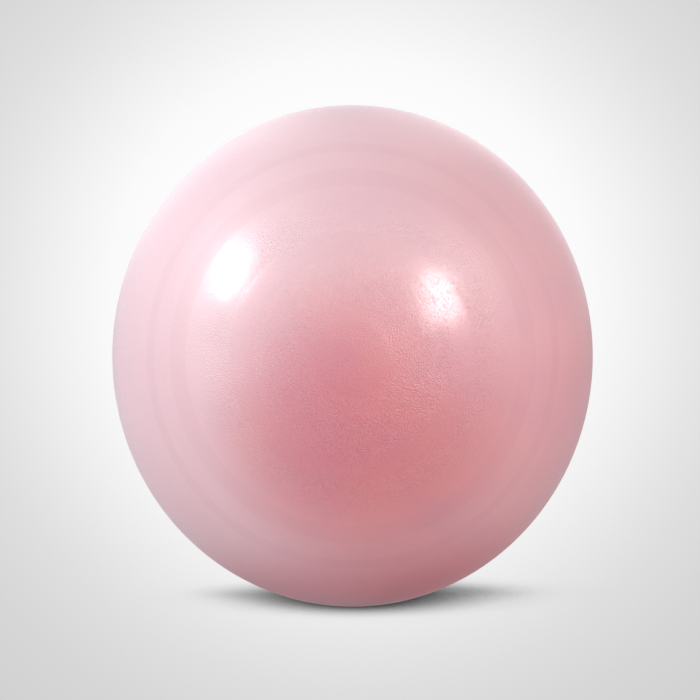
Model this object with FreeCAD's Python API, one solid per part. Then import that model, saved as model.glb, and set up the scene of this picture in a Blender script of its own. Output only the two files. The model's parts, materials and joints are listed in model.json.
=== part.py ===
"""Exercise ball: a blown-up PVC ball that stands 65 cm tall, with its valve seat and its air plug.

Frame, in millimetres: +Z is up and the origin is on the floor, under the centre of the ball. The ball's
pole axis, which its raised bands run round, lies near the Y axis: the plain front pole looks towards -Y
and is tipped up a little, and the rear pole, which holds the valve, looks towards +Y.

Three pieces come apart on a bench:
  ball_shell   the rotationally moulded skin, one hollow wall with raised bands and a mould seam
  valve_seat   the soft moulded insert that is bonded into the skin at the rear pole
  air_plug     the barbed stopper that is pushed into the seat and pulled out of it by hand

The skin is made upright round its own centre, and what runs round the pole axis is made on the Y axis
and then tipped. settled() lifts a finished piece to where the ball lies on the floor.
"""
import FreeCAD, Part
import math
import os

# ---------------------------------------------------------------- driving dimensions, mm and degrees
ball_height = 650.0        # floor to top, the size that the ball is blown up to
ball_width = 625.0         # across the middle, sideways and from pole to pole
wall = 0.8                 # skin thickness once it is blown up
contact_radius = 39.0      # the round patch of skin that the ball's own weight presses flat
pole_tip_deg = 4.0         # how far the front pole is tipped up from the horizontal

band_relief = 0.5          # how far a raised band stands out of the skin
pole_pad_deg = 8.1         # edge of the raised round pad on each pole, from the pole
grip_bands_deg = (         # edges of the raised bands on each half, from the pole
    (22.1, 28.0),
    (40.1, 45.2),
    (51.1, 54.3),
)
seam_relief = 0.3          # the mould's parting line, a fine bead half-way between the poles
seam_width = 1.6

bore_radius = 4.5          # hole through the valve seat
collar_radius = 11.0       # the part of the seat that fills the hole in the skin
flange_radius = 22.0       # the disc of the seat that is bonded inside the skin
flange_depth = 2.4         # the flange's thickness on the valve's axis
neck_length = 17.0         # the tube that reaches into the ball, from the flange
neck_root_radius = 7.5
neck_tip_radius = 6.5
bore_lead_in = 0.6         # chamfer at the mouth of the bore
pocket_depth = 1.8         # the round pocket that the plug's head sinks into
nail_notch_radius = 1.8    # the scoop in the pocket's rim, for a fingernail
nail_notch_setback = 0.9   # the scoop's centre is that far inside the rim

head_radius = 8.9
head_edge = 1.2            # thickness of the head at its rim
head_crown = 0.4           # rise of the head's dome above its rim
stem_length = 17.0
stem_radius = 3.9          # between the barbs
barb_count = 3
barb_pitch = 4.2
barb_length = 2.6
first_barb = 3.0           # from the head's underside to the first barb
tip_taper = 0.8            # the stem's end is narrowed by this much
core_radius = 1.8          # the blind hole up the middle of the plug
core_depth = 13.0

stem_clearance = 0.08      # barb to bore
head_clearance = 0.3       # head's rim to the pocket's wall
head_seat_gap = 0.05       # head's underside to the pocket's floor

# ---------------------------------------------------------------- sizes that follow from them
half_width = ball_width / 2.0
patch_share = math.sqrt(1.0 - (contact_radius / half_width) ** 2)   # centre's height / half the full height
half_height = ball_height / (1.0 + patch_share)                     # before the patch is pressed flat
centre_height = half_height * patch_share
reach = 2.0 * (ball_height + ball_width)   # longer than the ball, for the tools that cut it

rear_skin = half_width + band_relief       # the skin's outside at the rear pole, from the centre
pocket_floor = rear_skin - pocket_depth
pocket_radius = head_radius + head_clearance
flange_back = half_width - wall - flange_depth
barb_radius = bore_radius - stem_clearance

CENTRE = FreeCAD.Vector(0, 0, 0)
POLE_AXIS = FreeCAD.Vector(0, 1, 0)
TIP_AXIS = FreeCAD.Vector(1, 0, 0)
UP = FreeCAD.Vector(0, 0, 1)


# ---------------------------------------------------------------- shared tools
def tipped(shape):
    """The shape with its pole axis turned from the Y axis to the ball's own pole axis."""
    turned_shape = shape.copy()
    turned_shape.rotate(CENTRE, TIP_AXIS, -pole_tip_deg)
    return turned_shape


def settled(shape):
    """The shape lifted from round the ball's centre to where the ball lies on the floor."""
    lifted = shape.copy()
    lifted.translate(UP * centre_height)
    return lifted


def above(height):
    """A block that holds everything over that height, measured from the ball's centre."""
    corner = FreeCAD.Vector(-reach / 2.0, -reach / 2.0, height)
    return Part.makeBox(reach, reach, reach, corner)


def rod(radius, low_y, high_y):
    """A round rod on the pole axis between two places along it."""
    return Part.makeCylinder(radius, high_y - low_y, FreeCAD.Vector(0, low_y, 0), POLE_AXIS)


def turned(edges):
    """A solid turned about the Y axis from the edges of a closed outline."""
    return Part.Face(Part.Wire(edges)).revolve(CENTRE, POLE_AXIS, 360)


def straight(*points):
    """Edges that join the points, given as (distance from the axis, place along it)."""
    corners = [FreeCAD.Vector(x, y, 0) for x, y in points]
    return [Part.makeLine(a, b) for a, b in zip(corners, corners[1:])]


# ---------------------------------------------------------------- the skin's outside and inside
def round_body(growth):
    """The ball's plain form, grown outwards by that much: an ellipse turned about its upright axis."""
    side = FreeCAD.Vector(half_width + growth, 0, 0)
    top = FreeCAD.Vector(0, 0, half_height + growth)
    if top.Length >= side.Length:
        half_ellipse = Part.ArcOfEllipse(Part.Ellipse(top, side, CENTRE), 0, math.pi)
    else:
        half_ellipse = Part.ArcOfEllipse(Part.Ellipse(side, top, CENTRE), -math.pi / 2.0, math.pi / 2.0)
    outline = Part.Wire([half_ellipse.toShape(), Part.makeLine(-top, top)])
    return Part.Face(outline).revolve(CENTRE, UP, 360)


def out_at(angle_deg, distance):
    """The point at that angle from the front pole and that distance from the ball's centre."""
    angle = math.radians(angle_deg)
    return distance * math.sin(angle), -distance * math.cos(angle)


def ring_zone(start_deg, end_deg):
    """All that lies between two angles from the front pole, from half-way out to beyond the skin."""
    low, high = half_width / 2.0, 2.0 * half_height
    outline = straight(
        out_at(start_deg, low), out_at(start_deg, high), out_at(end_deg, high), out_at(end_deg, low),
        out_at(start_deg, low),
    )
    return tipped(turned(outline))


def skin_outside():
    """The whole ball as a solid, with its pads, bands and seam."""
    zones = [ring_zone(0.0, pole_pad_deg), ring_zone(180.0 - pole_pad_deg, 180.0)]
    for start_deg, end_deg in grip_bands_deg:
        zones += [ring_zone(start_deg, end_deg), ring_zone(180.0 - end_deg, 180.0 - start_deg)]
    raised = round_body(band_relief)
    bands = [raised.common(zone) for zone in zones]
    seam_slab = tipped(rod(reach, -seam_width / 2.0, seam_width / 2.0))
    seam = round_body(seam_relief).common(seam_slab)
    return round_body(0.0).fuse(bands + [seam])


# ---------------------------------------------------------------- the three pieces
def make_ball_shell(outside, inside):
    """The skin: flat where it stands, hollow, and open at the rear pole for the seat's collar."""
    body = outside.common(above(-centre_height))
    air = inside.common(above(wall - centre_height))
    hole = tipped(rod(collar_radius, 0.0, reach))
    return body.cut(air).cut(hole)


def make_valve_seat(outside, inside):
    """The insert: a flange bonded under the skin, a collar flush with it, and a neck with the bore."""
    flange = tipped(rod(flange_radius, flange_back, reach)).common(inside)
    collar = tipped(rod(collar_radius, flange_back, reach)).common(outside)
    neck_end = flange_back - neck_length
    neck = turned(straight(
        (0, neck_end), (neck_tip_radius, neck_end), (neck_root_radius, flange_back), (0, flange_back),
        (0, neck_end),
    ))
    lead_in_radius = bore_radius + bore_lead_in
    bore = turned(straight(
        (0, neck_end), (bore_radius, neck_end), (bore_radius, pocket_floor - bore_lead_in),
        (lead_in_radius, pocket_floor), (0, pocket_floor), (0, neck_end),
    ))
    pocket = rod(pocket_radius, pocket_floor, reach)
    notch_place = FreeCAD.Vector(0, pocket_floor, pocket_radius - nail_notch_setback)
    notch = Part.makeCylinder(nail_notch_radius, reach, notch_place, POLE_AXIS)
    seat = flange.fuse([collar, tipped(neck)]).removeSplitter()
    return seat.cut([tipped(bore), tipped(pocket), tipped(notch)])


def make_air_plug():
    """The stopper: a domed head, a stem with sawtooth barbs, and a blind core from its inner end."""
    underside = pocket_floor + head_seat_gap
    rim_top = underside + head_edge
    crown = rim_top + head_crown
    tip = underside - stem_length
    core_end = tip + core_depth

    dome_radius = (head_radius ** 2 + head_crown ** 2) / (2.0 * head_crown)
    dome_half_angle = math.asin(head_radius / dome_radius) / 2.0
    halfway = FreeCAD.Vector(
        dome_radius * math.sin(dome_half_angle), crown - dome_radius * (1.0 - math.cos(dome_half_angle)), 0
    )
    dome = Part.Arc(FreeCAD.Vector(0, crown, 0), halfway, FreeCAD.Vector(head_radius, rim_top, 0)).toShape()

    corners = [(head_radius, rim_top), (head_radius, underside), (stem_radius, underside)]
    for barb in range(barb_count):
        top = underside - first_barb - barb * barb_pitch
        corners += [(stem_radius, top), (barb_radius, top), (stem_radius, top - barb_length)]
    corners += [
        (stem_radius, tip + tip_taper), (stem_radius - tip_taper, tip), (core_radius, tip),
        (core_radius, core_end), (0, core_end + core_radius), (0, crown),
    ]
    return tipped(turned([dome] + straight(*corners)))


def main():
    outside = skin_outside()
    inside = round_body(-wall)
    pieces = {
        "ball_shell": make_ball_shell(outside, inside),
        "valve_seat": make_valve_seat(outside, inside),
        "air_plug": make_air_plug(),
    }
    os.makedirs("parts", exist_ok=True)
    for name, shape in pieces.items():
        piece = settled(shape)
        solid = piece.Solids[0] if len(piece.Solids) == 1 else piece
        solid.exportStep(os.path.join("parts", name + ".step"))
        print(f"{name}: {len(piece.Solids)} solid, {solid.Volume / 1000.0:.2f} cm3, valid {solid.isValid()}")


main()
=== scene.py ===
# %% [markdown]
# # A pearly exercise ball
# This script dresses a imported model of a 65 cm exercise ball: a moulded vinyl skin with shallow raised
# rings, a soft valve seat in its rear pole, and the plug that is pulled out to let the air out.
# The construction is fixed elsewhere. Here each piece gets the surface that the eye and hand would meet,
# in metres, in the same frame as the construction.

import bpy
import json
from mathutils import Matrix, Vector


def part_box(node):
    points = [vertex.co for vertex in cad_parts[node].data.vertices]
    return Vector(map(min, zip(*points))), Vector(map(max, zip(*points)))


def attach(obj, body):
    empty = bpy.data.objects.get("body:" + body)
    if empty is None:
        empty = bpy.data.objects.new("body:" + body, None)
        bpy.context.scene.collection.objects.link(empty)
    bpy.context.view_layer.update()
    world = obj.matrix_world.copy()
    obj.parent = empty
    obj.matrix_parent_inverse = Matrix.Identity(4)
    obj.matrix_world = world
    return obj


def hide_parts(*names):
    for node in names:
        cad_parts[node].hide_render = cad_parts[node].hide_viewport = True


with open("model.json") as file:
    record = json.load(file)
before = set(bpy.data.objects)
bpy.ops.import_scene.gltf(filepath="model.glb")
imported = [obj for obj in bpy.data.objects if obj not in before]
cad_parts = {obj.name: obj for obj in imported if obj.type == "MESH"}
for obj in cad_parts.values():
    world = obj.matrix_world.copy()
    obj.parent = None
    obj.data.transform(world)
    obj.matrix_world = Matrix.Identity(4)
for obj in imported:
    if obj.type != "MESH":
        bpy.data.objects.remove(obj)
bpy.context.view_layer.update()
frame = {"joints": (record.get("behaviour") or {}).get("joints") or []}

import json
import math

import bpy
import numpy as np
from mathutils import Vector

# %% [markdown]
# ## Where things are
# Everything on the ball is measured from three things: its centre, the axis through its two poles, and
# its plain form, which is a little taller than it is wide. The joint that pulls the plug runs along the
# pole axis, so the axis comes from there. The height and width come from the skin's own box, which the
# raised pads and the seam make a hair wider than the plain form.

# %% The ball's form
pull = next(joint for joint in frame["joints"] if joint["name"] == "plug_pull")
rear_pole = np.array(pull["axis"])
front_pole = -rear_pole

seam_rise = 0.0003
pad_rise = 0.0005
band_rise = 0.00016
skin_thickness = 0.0008
patch_radius = 0.039              # the round patch that the ball stands on

skin_low, skin_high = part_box("ball_shell")
ball_height = skin_high.z - skin_low.z
half_width = (skin_high.x - skin_low.x) / 2 - seam_rise
height_share = math.sqrt(1 - (patch_radius / half_width) ** 2)
half_height = ball_height / (1 + height_share)
centre = np.array([0, 0, half_height * height_share])
print("half width", round(half_width, 4), "half height", round(half_height, 4))

# %% [markdown]
# ## A way round the poles
# A ring is a circle round the pole axis, so a point on the ball is named by two angles: how far it is
# from the front pole, and how far round. The two side directions complete the axis. The plain form is
# an ellipse turned about the upright, so the distance from the centre depends on the direction.

# %% Directions and distances
across = np.array([1.0, 0, 0])
upward = np.cross(across, rear_pole)


def directions(polar, around):
    """Unit vectors from the centre, for angles from the front pole and angles round it, in radians."""
    polar, around = np.broadcast_arrays(polar, around)
    side = np.cos(around)[..., None] * across + np.sin(around)[..., None] * upward
    return np.cos(polar)[..., None] * front_pole + np.sin(polar)[..., None] * side


def plain_distance(direction):
    """How far the plain form is from the centre in each direction."""
    flat = direction[..., 0] ** 2 + direction[..., 1] ** 2
    return 1 / np.sqrt(flat / half_width ** 2 + direction[..., 2] ** 2 / half_height ** 2)


print("the front pole looks along", front_pole.round(3))

# %% [markdown]
# ## What is raised
# The mould leaves a round pad on each pole and three bands on each half. Their walls aren't sharp steps:
# air pressure stretches the vinyl over some 8 millimetres, so each edge is a soft ramp that barely
# catches the light. Where the two halves of the mould meet, half-way between the poles, a fine bead is
# left. The same easing curve makes all of them. The bands could be painted on with bump alone, but real
# relief shows in a highlight that crosses them, and in the outline.

# %% Raised bands, pads and seam
pad_edge = 8.1                                               # degrees from a pole
bands = ((22.1, 28.0), (40.1, 45.2), (51.1, 54.3))           # degrees from a pole
ramp = math.degrees(0.008 / half_width)
pad_stretch = 1.9                 # the pad stands higher than a band, so its ramp is wider
seam_half_width = math.degrees(0.0008 / half_width)


def ease(x):
    """A soft step from 0 to 1 as x goes from 0 to 1."""
    x = np.clip(x, 0, 1)
    return x * x * (3 - 2 * x)


def band_share(polar_degrees, ramp_width):
    """1 on a band, 0 between them, with ramps of that many degrees at the edges."""
    nearest_pole = np.minimum(polar_degrees, 180 - polar_degrees)
    share = 0.0 * nearest_pole
    for start, end in bands:
        up = ease((nearest_pole - start) / ramp_width + 0.5)
        down = ease((nearest_pole - end) / ramp_width + 0.5)
        share = share + up * (1 - down)
    return share


def pad_share(polar_degrees, ramp_width):
    """1 on the round pad of either pole, 0 elsewhere."""
    nearest_pole = np.minimum(polar_degrees, 180 - polar_degrees)
    return 1 - ease((nearest_pole - pad_edge) / ramp_width + 0.5)


def relief(polar_degrees):
    """How far the skin stands out of the plain form, in metres."""
    bead = 1 - ease(np.abs(polar_degrees - 90) / seam_half_width)
    band = band_rise * band_share(polar_degrees, ramp)
    pad = pad_rise * pad_share(polar_degrees, pad_stretch * ramp)
    return band + pad + seam_rise * bead


print("a ramp is", round(ramp, 2), "degrees wide")

# %% [markdown]
# ## Surfaces turned on a lathe
# All three pieces are round about the pole axis, so one helper joins rows of points into a surface. Each
# row is a ring with the same number of points, and a row of length one is a pole where the ring closes.
# A list of rings keeps every edge of a band exactly on a row of the mesh, which a plain sphere can't.

# %% Join rings into a mesh
def mesh_from_rings(name, rings, closed=False):
    """A smooth mesh through rings of points; closed also joins the last ring to the first."""
    starts = np.cumsum([0] + [len(ring) for ring in rings])
    faces = []
    pairs = list(zip(range(len(rings) - 1), range(1, len(rings))))
    if closed:
        pairs.append((len(rings) - 1, 0))
    for low, high in pairs:
        n, m = len(rings[low]), len(rings[high])
        for i in range(max(n, m)):
            j = (i + 1) % max(n, m)
            lower = [starts[low] + i % n, starts[low] + j % n]
            upper = [starts[high] + j % m, starts[high] + i % m]
            faces.append(list(dict.fromkeys(int(corner) for corner in lower + upper)))
    mesh = bpy.data.meshes.new(name)
    mesh.from_pydata(np.concatenate(rings).tolist(), [], faces)
    mesh.polygons.foreach_set("use_smooth", [True] * len(faces))
    mesh.update()
    piece = bpy.data.objects.new(name, mesh)
    bpy.context.scene.collection.objects.link(piece)
    print(name, len(mesh.vertices), "points,", len(faces), "faces")
    return piece


# %% [markdown]
# ## The skin
# The skin is one closed wall: the outside with its bands, the inside that follows it, and a round hole
# in the rear pole for the valve seat. A finer sphere could carry the bands too, but most of its points
# would lie where nothing happens. So the rows are a degree apart, with seven across every ramp, which
# keeps the shading of a ramp smooth.

# %% Rows of the skin
hole_radius = 0.011
hole_edge = 180 - math.degrees(math.asin(hole_radius / half_width))
points_around = 288

ramp_steps = np.array([-0.5, -0.3, -0.15, 0, 0.15, 0.3, 0.5]) * ramp
edges = [edge for band in bands for edge in band]
fine = [edge + ramp_steps for edge in edges] + [180 - edge + ramp_steps for edge in edges]
fine += [pad_edge + pad_stretch * ramp_steps, 180 - pad_edge + pad_stretch * ramp_steps]
fine.append(90 + np.linspace(-1, 1, 7) * seam_half_width)
plain = np.arange(1.0, hole_edge - 0.5, 1.0)
plain = plain[[min(abs(row - part).min() for part in fine) > 0.3 for row in plain]]
by_pole_and_hole = [0.35, hole_edge - 0.12, hole_edge - 0.03]
outside_rows = np.unique(np.concatenate([*fine, plain, by_pole_and_hole]))
inside_rows = np.arange(4.0, hole_edge - 2, 4.0)
print(len(outside_rows), "rows outside and", len(inside_rows), "inside")

# %% [markdown]
# ## The flat patch
# The ball's own weight presses a round patch of skin flat on the floor. Cutting the ball off at floor
# level would leave a crease all round the patch. Real vinyl bends into it, so the points under the floor
# are lifted by a soft maximum of their own height and the floor's.

# %% Press the skin onto the floor
floor_bend = 0.0003               # how high over the floor the bend begins


def pressed(points, floor):
    """The points with everything under the floor's height pushed up to it, with a soft bend."""
    depth = np.clip((floor - points[..., 2]) / floor_bend, -30, 30)
    lifted = points[..., 2] + floor_bend * np.log1p(np.exp(depth))
    points[..., 2] = np.where(depth > 4, floor, lifted)
    return points


def skin_ring(polar_degrees, inward=0.0):
    """One ring of the skin, that far under its outside."""
    if polar_degrees == 0:
        around = np.zeros(1)
    else:
        around = np.linspace(0, 2 * math.pi, points_around, endpoint=False)
    out = directions(math.radians(polar_degrees), around)
    rise = 0.0 if inward > skin_thickness / 2 else float(relief(polar_degrees))
    ring = centre + out * (plain_distance(out) + rise - inward)[:, None]
    return pressed(ring, inward)


# %% Make the skin
hole_lip = 0.00025                # keeps the rim of the hole crisp in smooth shading
outside = [skin_ring(0.0)] + [skin_ring(row) for row in outside_rows]
lip = [skin_ring(hole_edge, hole_lip), skin_ring(hole_edge, skin_thickness)]
inside = [skin_ring(row, skin_thickness) for row in inside_rows[::-1]] + [skin_ring(0.0, skin_thickness)]
skin = mesh_from_rings("vinyl_skin", outside + lip + inside)
skin_heights = [point[2] for ring in outside for point in ring]
print("the skin stands between", round(min(skin_heights), 4), "and", round(max(skin_heights), 4))

# %% [markdown]
# ## Telling the finish where the bands are
# The finish is a touch duller on the raised bands than between them, because they take the rubbing. The
# mesh already knows where they are, so it carries two numbers at each point for the shader to read: how
# raised the point is, and how far it is from the nearer pole. The duller finish ends more crisply than
# the ramp under it, because rubbing stops at the edge.

# %% Numbers that the finish reads
def store(piece, name, values):
    """Keeps one number for each point of a piece, for its material to read."""
    layer = piece.data.attributes.new(name, "FLOAT", "POINT")
    layer.data.foreach_set("value", np.asarray(values, np.float32))


skin_points = np.array([vertex.co for vertex in skin.data.vertices])
from_centre = skin_points - centre
from_centre /= np.linalg.norm(from_centre, axis=1)[:, None]
skin_polar = np.degrees(np.arccos(np.clip(from_centre @ front_pole, -1, 1)))
rubbed_edge = 0.3 * ramp
pad_rubbing = 0.6                 # the pads are rubbed less than the bands
on_band = band_share(skin_polar, rubbed_edge)
store(skin, "raised", on_band + pad_rubbing * pad_share(skin_polar, rubbed_edge))
store(skin, "from_pole", np.minimum(skin_polar, 180 - skin_polar))
print("share of the skin's points on a band", round(float(on_band.mean()), 3))

# %% [markdown]
# ## The valve seat
# The seat is soft vinyl: a collar flush with the skin, a round pocket that the plug's head sinks into,
# a scoop in the pocket's rim for a fingernail, and a neck with the bore. Only the collar and the pocket
# show, but the bore does too once the plug is out. An outline of radius and depth under the skin, with
# a small round at each corner, is turned round the pole; the scoop widens the pocket over a few degrees.

# %% A point by the rear pole
def by_rear_pole(radius, depth, around):
    """Points at a distance from the pole axis and a depth under the skin's outside at the rear pole."""
    around = np.asarray(around)
    radius = np.broadcast_to(radius, around.shape)
    side = np.cos(around)[:, None] * across + np.sin(around)[:, None] * upward
    along = np.sqrt(np.clip(half_width ** 2 - radius ** 2, 0, None))
    out = rear_pole * along[:, None] + side * radius[:, None]
    out /= np.linalg.norm(out, axis=1)[:, None]
    level = (plain_distance(out) + pad_rise) * (out @ rear_pole)
    return centre + side * radius[:, None] + rear_pole * (level - depth)[:, None]


print("rear pole at", (centre + rear_pole * (half_width + pad_rise)).round(4))

# %% [markdown]
# ## Rounded outlines
# A moulded corner is never sharp. This helper takes an outline's corners, each with its own radius, and
# swaps every corner for a few points on a curve that leaves one side and meets the next.

# %% Round an outline's corners
def rounded(corners, steps=4):
    """Points along an outline of (radius, height, rounding), open at both ends."""
    outline = [corners[0][:2]]
    for before, here, after in zip(corners, corners[1:], corners[2:]):
        point = np.array(here[:2])
        back = np.array(before[:2]) - point
        on = np.array(after[:2]) - point
        reach = min(here[2], 0.45 * np.linalg.norm(back), 0.45 * np.linalg.norm(on))
        start = point + back / np.linalg.norm(back) * reach
        end = point + on / np.linalg.norm(on) * reach
        if reach == 0:
            outline.append(tuple(point))
            continue
        for t in np.linspace(0, 1, steps + 1):
            outline.append(tuple((1 - t) ** 2 * start + 2 * t * (1 - t) * point + t ** 2 * end))
    outline.append(corners[-1][:2])
    return outline


# %% [markdown]
# ## The seat's outline
# The seat is drawn as half of its own cross-section, from the collar's lower edge over the rim, down the
# pocket and the bore, and back along the neck to the flange. The sizes are those of the construction,
# less a hair where the seat lies against the skin, so that no two surfaces share a place.

# %% Sizes of the seat
hair = 0.00008
flange_gap = 0.00005
flange_depth = 0.0023
neck_length = 0.017
collar_radius = hole_radius - hair
pocket_radius = 0.0092
pocket_depth = 0.0018
bore_radius = 0.0045
bore_lead_in = 0.0006
flange_radius = 0.0219
flange_top = skin_thickness + pad_rise + flange_gap
flange_back = flange_top + flange_depth
neck_end = flange_back + neck_length
neck_root_radius = 0.0075
neck_tip_radius = 0.0065
scoop_radius = 0.0018
scoop_setback = 0.0009            # the scoop's centre is that far inside the pocket's rim
scoop_centre = pocket_radius - scoop_setback
seat_around = np.linspace(0, 2 * math.pi, 240, endpoint=False)
print("the neck ends", round(neck_end * 1000, 1), "mm under the skin")


def pocket_wall(around):
    """The pocket's radius all round, widened by the scoop straight above the bore."""
    from_top = np.angle(np.exp(1j * (around - math.pi / 2)))
    inside_scoop = scoop_radius ** 2 - (scoop_centre * np.sin(from_top)) ** 2
    scoop = scoop_centre * np.cos(from_top) + np.sqrt(np.clip(inside_scoop, 0, None))
    on_scoop = (inside_scoop > 0) & (np.abs(from_top) < 1)
    return np.where(on_scoop, np.maximum(pocket_radius, scoop), pocket_radius)


# %% Make the seat
seat_outline = rounded([
    (collar_radius, flange_top, 0),
    (collar_radius, 0, 0.00025),
    (pocket_radius, 0, 0.00035),
    (pocket_radius, pocket_depth, 0.0003),
    (bore_radius + bore_lead_in, pocket_depth, 0.0002),
    (bore_radius, pocket_depth + bore_lead_in, 0.0003),
    (bore_radius, neck_end, 0.0004),
    (neck_tip_radius, neck_end, 0.0006),
    (neck_root_radius, flange_back, 0.0012),
    (flange_radius, flange_back, 0.0005),
    (flange_radius, flange_top, 0),
])
widest = pocket_wall(seat_around)
flat_round_bore = 0.002           # the pocket's floor keeps its shape that far out from the bore
seat_rings = []
for radius, depth in seat_outline:
    from_flat = radius - bore_radius - flat_round_bore
    near_wall = ease(from_flat / (pocket_radius - bore_radius - flat_round_bore))
    past_wall = ease((collar_radius - radius) / (collar_radius - pocket_radius))
    share = near_wall * past_wall if depth <= pocket_depth else 0.0
    seat_rings.append(by_rear_pole(radius + share * (widest - pocket_radius), depth, seat_around))
seat = mesh_from_rings("soft_valve_seat", seat_rings, closed=True)

# %% [markdown]
# ## The plug
# The plug is one moulding of harder, whiter plastic: a head with a low dome, a thin stem with three
# sawtooth barbs that let it in and hold it there, and a blind hole up its middle that makes the stem
# supple. A pin of the mould leaves a shallow dimple in the middle of the head.

# %% Sizes of the plug
head_radius = 0.0089
head_edge = 0.0012
head_seat_gap = 0.00005
head_crown = 0.0004
underside = pocket_depth - head_seat_gap
head_top = underside - head_edge
stem_radius = 0.0039
stem_clearance = 0.00008
barb_radius = bore_radius - stem_clearance
barb_count = 3
barb_pitch = 0.0042
barb_length = 0.0026
first_barb = 0.0030
stem_length = 0.0170
tip_taper = 0.0008
core_radius = 0.0018
core_depth = 0.0130
dimple_radius = 0.0014
dimple_depth = 0.00012
print("the head has", round((pocket_radius - head_radius) * 1000, 2), "mm of room in its pocket")

# %% Make the plug
tip = underside + stem_length
on_axis = 0.00001                 # near enough to the axis for the first and last corner of the outline
dome = [
    (radius, head_top - head_crown * (1 - (radius / head_radius) ** 2), 0.0001)
    for radius in np.linspace(dimple_radius * 1.25, head_radius * 0.9, 10)
]
dimple_floor = head_top - head_crown + dimple_depth
corners = [(on_axis, dimple_floor, 0), (dimple_radius, dimple_floor, 0.0002), *dome]
corners += [
    (head_radius, head_top, 0.0004),
    (head_radius, underside, 0.0004),
    (stem_radius, underside, 0.0005),
]
for barb in range(barb_count):
    top = underside + first_barb + barb * barb_pitch
    corners += [
        (stem_radius, top, 0.0002),
        (barb_radius, top, 0.00015),
        (stem_radius, top + barb_length, 0.0004),
    ]
corners += [
    (stem_radius, tip - tip_taper, 0.0003),
    (stem_radius - tip_taper, tip, 0.0003),
    (core_radius, tip, 0.0003),
    (core_radius, tip - core_depth, 0.0008),
    (on_axis, tip - core_depth - core_radius, 0),
]
plug_around = np.linspace(0, 2 * math.pi, 120, endpoint=False)
pole_level = half_width + pad_rise


def plug_ring(radius, depth):
    """One ring of the plug, at a depth under the rear pole."""
    side = np.cos(plug_around)[:, None] * across + np.sin(plug_around)[:, None] * upward
    return centre + side * radius + rear_pole * (pole_level - depth)


plug_rings = [plug_ring(radius, depth) for radius, depth in rounded(corners)]
plug_rings[0] = plug_rings[0].mean(axis=0, keepdims=True)
plug_rings[-1] = plug_rings[-1].mean(axis=0, keepdims=True)
plug = mesh_from_rings("pull_out_plug", plug_rings)

# %% [markdown]
# ## Which piece stands for which part
# The skin and the seat are bonded together and move as the ball. The plug moves along the bore. Each
# piece takes the place of the plain part that it covers, and of its movements, so nothing is posed here.

# %% Tie the pieces to the construction
for piece, body, node, finish in (
    (skin, "ball", "ball_shell", "pearl_vinyl_skin"),
    (seat, "ball", "valve_seat", "soft_vinyl_seat"),
    (plug, "plug", "air_plug", "white_plug"),
):
    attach(piece, body)
    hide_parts(node)
    print(piece.name, "stands for", node)

# %% [markdown]
# ## Shader sums
# A finish is arithmetic on values that change over the surface. This class wraps the output of a node so
# that the arithmetic can be written as Python: each sign adds one Math node. Anything that isn't
# arithmetic comes from make(), which sets a node up, then fills or links its sockets.

# %% A value that flows through a material
class Flow:
    """One output socket of a material's nodes, with the signs of arithmetic."""

    def __init__(self, tree, socket=None):
        self.tree = tree
        self.socket = socket

    def make(self, kind, settings=None, sockets=None, output=0):
        """A new node of that kind: its settings, then the values or links of its sockets."""
        node = self.tree.nodes.new(kind)
        for name, value in (settings or {}).items():
            if name == "stops":
                for stop, (place, colour) in zip(node.color_ramp.elements, value):
                    stop.position, stop.color = place, colour
                for place, colour in value[2:]:
                    node.color_ramp.elements.new(place).color = colour
            else:
                setattr(node, name, value)
        for name, value in (sockets or {}).items():
            if isinstance(value, Flow):
                self.tree.links.new(value.socket, node.inputs[name])
            else:
                node.inputs[name].default_value = value
        return Flow(self.tree, node.outputs[output])

    def sum(self, operation, first, second, clamp=False):
        settings = {"operation": operation, "use_clamp": clamp}
        return self.make("ShaderNodeMath", settings, {0: first, 1: second})

    def __add__(self, other):
        return self.sum("ADD", self, other)

    def __radd__(self, other):
        return self.sum("ADD", other, self)

    def __sub__(self, other):
        return self.sum("SUBTRACT", self, other)

    def __rsub__(self, other):
        return self.sum("SUBTRACT", other, self)

    def __mul__(self, other):
        return self.sum("MULTIPLY", self, other)

    def __rmul__(self, other):
        return self.sum("MULTIPLY", other, self)

    def step(self, low, high):
        """0 where this is at low or beyond it, 1 at high, and soft between."""
        settings = {"interpolation_type": "SMOOTHSTEP"}
        sockets = {"Value": self, "From Min": low, "From Max": high}
        return self.make("ShaderNodeMapRange", settings, sockets)

    def blend(self, first, second):
        """The first colour where this is 0 and the second where it is 1."""
        sockets = {0: self, 6: first, 7: second}
        return self.make("ShaderNodeMix", {"data_type": "RGBA"}, sockets, output=2)


# %% [markdown]
# ## Setting up a finish
# Every finish starts from the same bench: a fresh material with one Principled shader, and a place to
# read positions from. The pieces sit at the origin, so object coordinates are metres on the real ball,
# and a pattern keeps its real size.

# %% A bench for making a finish
def new_finish(name):
    """A new material: its shader, a Flow to make nodes from, and positions in metres."""
    material = bpy.data.materials.new(name)
    material.use_nodes = True
    shader = material.node_tree.nodes["Principled BSDF"]
    bench = Flow(material.node_tree)
    places = bench.make("ShaderNodeTexCoord", output=3)
    return material, shader, bench, places


def wire(shader, sockets):
    """Sets the shader's own sockets to plain values, or links what changes over the surface."""
    for name, value in sockets.items():
        if isinstance(value, Flow):
            value.tree.links.new(value.socket, shader.inputs[name])
        else:
            shader.inputs[name].default_value = value


def noise(bench, places, size, detail=2.0, roughness=0.5):
    """A soft random pattern from 0 to 1, with features about that many metres across."""
    sockets = {"Vector": places, "Scale": 1 / size, "Detail": detail, "Roughness": roughness}
    return bench.make("ShaderNodeTexNoise", None, sockets)


def colour(red, green, blue):
    """A screen colour from 0 to 255, as the linear light that shaders work in."""
    shares = [channel / 255 for channel in (red, green, blue)]
    return (*(s / 12.92 if s <= 0.04045 else ((s + 0.055) / 1.055) ** 2.4 for s in shares), 1)


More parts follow.
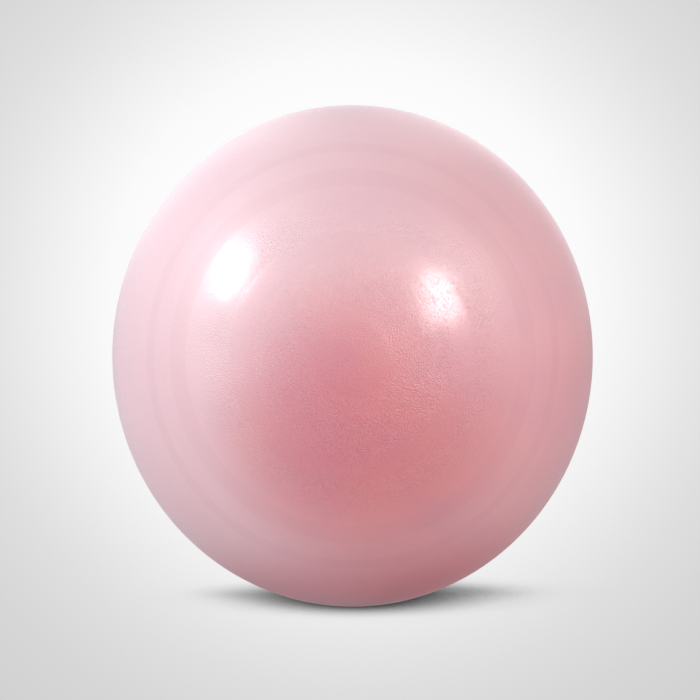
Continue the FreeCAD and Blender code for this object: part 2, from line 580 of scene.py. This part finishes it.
# %% [markdown]
# ## Pearly vinyl: its colour
# The skin is rose vinyl with pearl pigment, fine white flakes that lie near the surface. A pale colour
# over the rose is partly the pearl's own tone and partly painted sheen: it is palest on the left flank,
# where the lamps light the ball, and left off a spot facing the front, where the deeper rose shows.
# The underside is painted a darker, deeper rose as shade. The pale could be painted as patches, but
# those need an edge. Here it follows the direction from the middle of the ball, so it changes slowly
# and without a seam.

# %% The colour of the vinyl
vinyl, shader, bench, places = new_finish("pearly_rose_vinyl")
raised = bench.make("ShaderNodeAttribute", {"attribute_name": "raised"}, output=2)
from_pole = bench.make("ShaderNodeAttribute", {"attribute_name": "from_pole"}, output=2)

rose = colour(201, 106, 119)
salmon = colour(208, 111, 115)
# the pale of the pearl, partly its own tone and partly painted sheen
pale_and_painted_sheen_colour = colour(232, 200, 207)
# painted shade: the darker, deeper rose of the underside
underside_shade_rose = colour(203, 30, 66)
rubbed_rose = colour(170, 96, 108)
white_flake = colour(255, 246, 250)
# the painted sheen is palest towards the left side, where the lamps light the ball
lit_side_direction = (Vector((-0.95, 0, 0.25)) / half_width).to_tuple()
# no sheen is painted on this spot facing the front, so the deeper rose shows there
unsheened_spot = (Vector((0.07, -0.98, -0.19)) / half_width).to_tuple()
up_the_ball = (Vector((-0.12, 0, 0.99)) / half_height).to_tuple()
middle = {0: places, 1: tuple(centre)}
from_middle = bench.make("ShaderNodeVectorMath", {"operation": "SUBTRACT"}, middle)


def towards(bench, direction):
    """1 where the skin faces that direction from the middle of the ball, -1 where it faces away."""
    sockets = {0: from_middle, 1: direction}
    return bench.make("ShaderNodeVectorMath", {"operation": "DOT_PRODUCT"}, sockets, output=1)


facing_lit_side = towards(bench, lit_side_direction)
toward_unsheened_spot = towards(bench, unsheened_spot)
upright = towards(bench, up_the_ball)
# the pale tone and its painted sheen are thickest in this direction
print("the pearl is thickest towards", [round(value * half_width, 2) for value in lit_side_direction])

# %% [markdown]
# ## From rose to pale tone and painted sheen
# The colour is built up in layers, from the bottom: two close roses that drift into each other, the
# pale tone and painted sheen over them, then the painted shade of the underside and the duller tone of
# the rubbed bands, and last the finest flakes. Clouds in the pale tone keep it from looking sprayed. The
# flakes are noise of 2 mm, clearest near the poles, where the mould has a grain. They lighten and darken
# it by the same amount, so the colour as a whole stays as it was mixed.

# %% Pale tone, painted sheen, painted underside shade, band wear and flakes
cloud = noise(bench, places, 0.22, detail=3)
# pale tone with painted sheen: palest towards the lit side, none on the spot facing the front
away = 1 - toward_unsheened_spot.step(0.74, 1.05)
pale_tone_and_painted_sheen = away * (0.62 + 0.36 * facing_lit_side + 0.12 * (cloud - 0.5))
drift = noise(bench, places, 0.11, detail=2).step(0.35, 0.65)
body_colour = drift.blend(rose, salmon)
body_colour = pale_tone_and_painted_sheen.blend(body_colour, pale_and_painted_sheen_colour)
# painted shade: the underside turns a darker, deeper rose, and is also duller and loses its flakes' gloss
shaded_underside = 1 - upright.step(-1.05, -0.56)
body_colour = (0.88 * shaded_underside).blend(body_colour, underside_shade_rose)
body_colour = (0.06 * raised).blend(body_colour, rubbed_rose)
beyond_pad = from_pole.step(6, 15)
grained = (1 - from_pole.step(30, 42)) * (0.45 + 0.55 * beyond_pad) * (1 - 0.5 * raised)
flakes = noise(bench, places, 0.002, detail=1).step(0.38, 0.62)
flake_share = 0.03 + (0.02 + 0.06 * grained) * (flakes - 0.5)
body_colour = flake_share.blend(body_colour, white_flake)
print("the colour takes", len(vinyl.node_tree.nodes), "nodes")

# %% [markdown]
# ## Pearly vinyl: its grain
# The mould is blasted to a fine pebble, strongest round the poles and weaker on the pad and the bands.
# Further out it is nearly smooth. The grain is too fine to model, so it is noise of 1.8 mm that feeds a
# bump. It is counted from its own middle height, so that the skin's level doesn't step where the grain
# gets weaker, which would draw a line.
# The gloss is broad, with a thinner and sharper gloss from the flakes on top, so a highlight breaks
# up into specks. Sheen gives the milky bloom wherever light glances off. On the underside, which is
# painted a darker rose as shade, the gloss is duller and most of the flakes' gloss is gone.

# %% The grain of the vinyl
pebble = noise(bench, places, 0.0018, detail=0)
grain_height = (pebble - 0.5) * (0.14 + 0.86 * grained)
bump_sockets = {"Strength": 0.9, "Distance": 0.0014, "Height": grain_height}
bump = bench.make("ShaderNodeBump", None, bump_sockets)
smear = noise(bench, places, 0.03, detail=4, roughness=0.6)
gloss = 0.47 + 0.06 * smear + 0.05 * raised + 0.25 * shaded_underside

wire(shader, {
    "Base Color": body_colour,
    "Roughness": gloss,
    "Normal": bump,
    "IOR": 1.6,
    "Specular Tint": (1.0, 0.96, 1.0, 1.0),
    "Coat Weight": (0.18 + 0.42 * flakes) * (1 - 0.9 * shaded_underside),
    "Coat Roughness": 0.25,
    "Sheen Weight": 0.38,
    "Sheen Roughness": 0.5,
    "Sheen Tint": colour(255, 244, 252),
})
skin.data.materials.append(vinyl)
print(vinyl.name, "takes", len(vinyl.node_tree.nodes), "nodes")

# %% [markdown]
# ## Softer vinyl for the seat
# The seat is the same rose, poured without pearl, a little darker and glossier, with the fine swirl that
# a small hot mould leaves. The skin's finish isn't used again here, because without pearl there is no
# bloom, and that difference is what lets the eye find the valve.

# %% Make the seat's vinyl
seat_vinyl, shader, bench, places = new_finish("seat_rose_vinyl")
swirl = noise(bench, places, 0.004, detail=4)
fine_grain = noise(bench, places, 0.0005, detail=2)
seat_sockets = {"Strength": 0.2, "Distance": 0.0001, "Height": fine_grain}
seat_bump = bench.make("ShaderNodeBump", None, seat_sockets)
wire(shader, {
    "Base Color": swirl.blend(colour(203, 132, 142), colour(212, 145, 153)),
    "Roughness": 0.38 + 0.12 * swirl,
    "Normal": seat_bump,
    "Coat Weight": 0.2,
    "Coat Roughness": 0.25,
})
seat.data.materials.append(seat_vinyl)
print(seat_vinyl.name, "takes", len(seat_vinyl.node_tree.nodes), "nodes")

# %% [markdown]
# ## The plug's plastic
# The plug is a milky white plastic with a satin face. It yellows faintly in patches, and its head gets
# fine rub marks from being pushed home with a thumb. One plain white would look like paint, so two near
# whites drift into each other, and the rub marks change the gloss more than the colour.

# %% Make the plug's plastic
milky, shader, bench, places = new_finish("milky_white_plastic")
patches = noise(bench, places, 0.006, detail=3)
rubs = noise(bench, places, 0.0004, detail=3, roughness=0.7)
plug_sockets = {"Strength": 0.15, "Distance": 0.00005, "Height": rubs}
plug_bump = bench.make("ShaderNodeBump", None, plug_sockets)
wire(shader, {
    "Base Color": patches.blend(colour(243, 241, 239), colour(235, 231, 226)),
    "Roughness": 0.28 + 0.2 * rubs,
    "Normal": plug_bump,
})
plug.data.materials.append(milky)
print(milky.name, "takes", len(milky.node_tree.nodes), "nodes")

# %% [markdown]
# ## The camera
# The ball is looked at from in front, almost level, and from well back through a long lens, so that it
# looks as calm as it does across a room. A wide lens from nearby would swell its middle and hide the
# outer bands. The camera is placed from the ball's own size.

# %% Place the camera
camera_distance = 9.6 * half_width
camera_height_angle = math.radians(4.0)
aim_offset = Vector((-0.0033, 0, 0.0078))      # the ball sits a hair low and right of the middle
aim = Vector(centre) + aim_offset
camera_data = bpy.data.cameras.new("camera")
camera = bpy.data.objects.new("camera", camera_data)
bpy.context.scene.collection.objects.link(camera)
back = Vector((0, -math.cos(camera_height_angle), math.sin(camera_height_angle)))
camera.location = aim + back * camera_distance
camera.rotation_mode = "QUATERNION"
camera.rotation_quaternion = (-back).to_track_quat("-Z", "Y")
camera_data.lens = 118
camera_data.clip_end = 200
bpy.context.scene.camera = camera
print("camera at", [round(value, 2) for value in camera.location])

# %% [markdown]
# ## Floor and surroundings
# The ball stands on a pale sweep of paper with no corner in sight. A white floor and a white wall would
# do, but their meeting shows as a line. Here a soft pool of light, thrown from the front, makes the paper
# whitest behind the ball and greyer away from it, and the floor and the surroundings share one rule for
# it. Only the eye and reflections see the pool: the light that falls on the ball comes from the lamps.

# %% The pool of light
pool_from = camera.location
pool_dip = math.radians(2.75)
pool_along = Vector((0, 1, -math.tan(pool_dip))).normalized()
pool_edge = math.radians(16)
pool_greys = (
    (0.0, 255), (1.0, 206),
    (0.25, 254), (0.375, 250), (0.456, 241), (0.544, 230), (0.606, 223), (0.706, 215), (0.81, 210),
)
pool_stops = [(spread, colour(grey, grey, grey)) for spread, grey in pool_greys]


def pool_colour(bench, direction):
    """The paper's colour in a direction from where the pool of light is thrown."""
    settings = {"operation": "DOT_PRODUCT"}
    along = bench.make("ShaderNodeVectorMath", settings, {0: direction, 1: pool_along}, output=1)
    angle = bench.sum("ARCCOSINE", along, 0.0)
    spread = bench.sum("MULTIPLY", angle, 1 / pool_edge, clamp=True)
    return bench.make("ShaderNodeValToRGB", {"stops": pool_stops}, {"Fac": spread})


print("the pool fades over", round(math.degrees(pool_edge)), "degrees, in", len(pool_stops), "steps")

# %% [markdown]
# ## What the eye sees, and what lights the ball
# A paper that is painted this bright would also throw its light onto the ball. The kind of ray tells the
# two apart: rays from the eye, through clear things and, in part, in reflections find the painted
# paper, and rays that gather light find a plain, even grey.

# %% Seen by the eye and by reflections
def seen(bench, in_reflections=1.0):
    """1 for rays from the eye and through clear things, a share for reflections, and 0 for light."""
    ray = bench.make("ShaderNodeLightPath")
    outputs = ray.socket.node.outputs
    eye = Flow(bench.tree, outputs["Is Camera Ray"])
    mirrored = Flow(bench.tree, outputs["Is Glossy Ray"])
    through = Flow(bench.tree, outputs["Is Transmission Ray"])
    return bench.sum("ADD", eye + through, in_reflections * mirrored, clamp=True)


# %% Surroundings
world = bpy.data.worlds.new("surroundings")
world.use_nodes = True
bpy.context.scene.world = world
bench = Flow(world.node_tree)
heading = bench.make("ShaderNodeTexCoord", output=0)
ambient = (0.5, 0.5, 0.5, 1)
paper = seen(bench).blend(ambient, pool_colour(bench, heading))
world.node_tree.links.new(paper.socket, world.node_tree.nodes["Background"].inputs["Color"])
print("light from all round is", ambient[0], "of white")

# %% Floor
floor_radius = 30.0
turn = np.linspace(0, 2 * math.pi, 96, endpoint=False)
floor_rings = [np.zeros((1, 3))]
for radius in (0.5, 1.0, 2.0, 4.0, 8.0, 16.0, floor_radius):
    floor_rings.append(np.stack([radius * np.cos(turn), radius * np.sin(turn), 0 * turn], axis=1))
floor = mesh_from_rings("paper_floor", floor_rings)

# %% [markdown]
# ## The shadow under the ball
# The ball touches the paper on a patch narrower than a saucer, and the dark round it is thin and soft.
# How much of the sky a spot of floor can see tells how dark it is there. The sky is asked for in two
# leaning directions, one low to the front and one to the back, and the brighter answer counts. Light
# from either of them keeps the shade away in front of the ball and behind it, and only to the sides does
# the ball hide both, which draws the shade out sideways. The ramp after it sets how dark each share is.

# %% The paper and the shade on it
paper_floor, shader, bench, places = new_finish("paper_floor")
position = bench.make("ShaderNodeNewGeometry")
out_from = bench.make("ShaderNodeVectorMath", {"operation": "SUBTRACT"}, {0: position, 1: pool_from})
heading = bench.make("ShaderNodeVectorMath", {"operation": "NORMALIZE"}, {0: out_from})


def open_sky(x, y, z):
    """How much of the sky round a leaning direction a spot of floor can see."""
    lean = bench.make("ShaderNodeCombineXYZ", None, {0: x, 1: y, 2: z})
    leaning = bench.make("ShaderNodeVectorMath", {"operation": "NORMALIZE"}, {0: lean})
    sockets = {"Distance": 0.3, "Normal": leaning}
    return bench.make("ShaderNodeAmbientOcclusion", {"samples": 16}, sockets, output=1)


sky_in_front = open_sky(-0.4, -4.0, 1.0)
sky_behind = open_sky(-0.3, 1.2, 1.0)
brightest = bench.sum("MAXIMUM", sky_in_front, sky_behind)
shade_levels = (
    (0.49, 0.04), (0.79, 0.995),
    (0.53, 0.13), (0.56, 0.21), (0.6, 0.32), (0.63, 0.45),
    (0.66, 0.59), (0.69, 0.7), (0.72, 0.85), (0.755, 0.95),
)
shade_stops = [(share, (level, level, level, 1)) for share, level in shade_levels]
shade = bench.make("ShaderNodeValToRGB", {"stops": shade_stops}, {"Fac": brightest})
shaded = {0: 1.0, 6: pool_colour(bench, heading), 7: shade}
shown = bench.make("ShaderNodeMix", {"data_type": "RGBA", "blend_type": "MULTIPLY"}, shaded, output=2)
glow = bench.make("ShaderNodeEmission", None, {"Color": shown})
wire(shader, {"Base Color": (0.34, 0.34, 0.34, 1), "Roughness": 0.9})
lit = Flow(bench.tree, shader.outputs[0])
mixed = bench.make("ShaderNodeMixShader", None, {0: seen(bench, in_reflections=0.3), 1: lit, 2: glow})
surface = paper_floor.node_tree.nodes["Material Output"].inputs["Surface"]
paper_floor.node_tree.links.new(mixed.socket, surface)
floor.data.materials.append(paper_floor)
print("the shade has", len(shade_stops), "steps")

# %% [markdown]
# ## Lamps
# Two panels in front give the two highlights. They are seen only in the gloss, so that they can be
# small and bright without flooding the rose. Two low boards do the opposite: they only light the body,
# and lift the lower sides of the ball without drawing a streak on it. The rest comes from large soft
# panels that stand round the sides, overhead and behind, with more light on the left. Light that reaches
# the skin at a glancing angle is what makes the pearl bloom. Each lamp is placed by its direction from
# the ball's centre and turned to face it.

# %% Place the lamps
def soft_panel(name, place, distance, size, watts, tint=(1, 1, 1), for_gloss=True, for_body=True):
    """A lamp that faces the ball from a place in degrees: round from the front to the right, and up."""
    data = bpy.data.lights.new(name, "AREA")
    data.shape = "RECTANGLE"
    data.size, data.size_y = size
    data.energy = watts
    data.color = tint
    lamp = bpy.data.objects.new(name, data)
    bpy.context.scene.collection.objects.link(lamp)
    turned, raised_by = (math.radians(angle) for angle in place)
    level = math.cos(raised_by)
    toward = Vector((math.sin(turned) * level, -math.cos(turned) * level, math.sin(raised_by)))
    lamp.location = Vector(centre) + toward * distance
    lamp.rotation_mode = "QUATERNION"
    lamp.rotation_quaternion = toward.to_track_quat("Z", "Y")
    lamp.visible_camera = False
    lamp.visible_glossy = for_gloss
    lamp.visible_diffuse = for_body
    return lamp


cool = (0.97, 0.96, 1.0)
warm = (1.0, 0.97, 0.94)
soft_panel("left_highlight", (-63.8, 31.2), 2.5, (0.5, 0.8), 66, for_body=False)
soft_panel("right_highlight", (42, 25.2), 2.5, (0.68, 0.85), 78, for_body=False)
soft_panel("low_left_board", (-55, -4), 2.2, (1.2, 0.5), 27, cool, for_gloss=False)
soft_panel("low_right_board", (42, -4), 2.2, (1.2, 0.5), 25, warm, for_gloss=False)
soft_panel("left_high", (-85, 50), 2.6, (2.0, 1.8), 11.5, cool)
soft_panel("left_behind", (-135, 35), 2.6, (2.2, 2.2), 10, cool)
soft_panel("right_wall", (90, 12), 2.6, (2.2, 2.0), 4.6, warm)
soft_panel("overhead", (0, 89), 2.6, (2.6, 2.6), 16, cool)
soft_panel("behind", (180, 45), 2.6, (2.4, 2.0), 7)
soft_panel("behind_low", (180, 15), 2.6, (3.0, 1.0), 7, cool)
print(len(bpy.data.lights), "lamps")

# %% [markdown]
# ## How values are shown
# Values are shown plainly, because a film curve would grey the rose and dull the highlights.

# %% Finish
bpy.context.scene.view_settings.view_transform = "Standard"
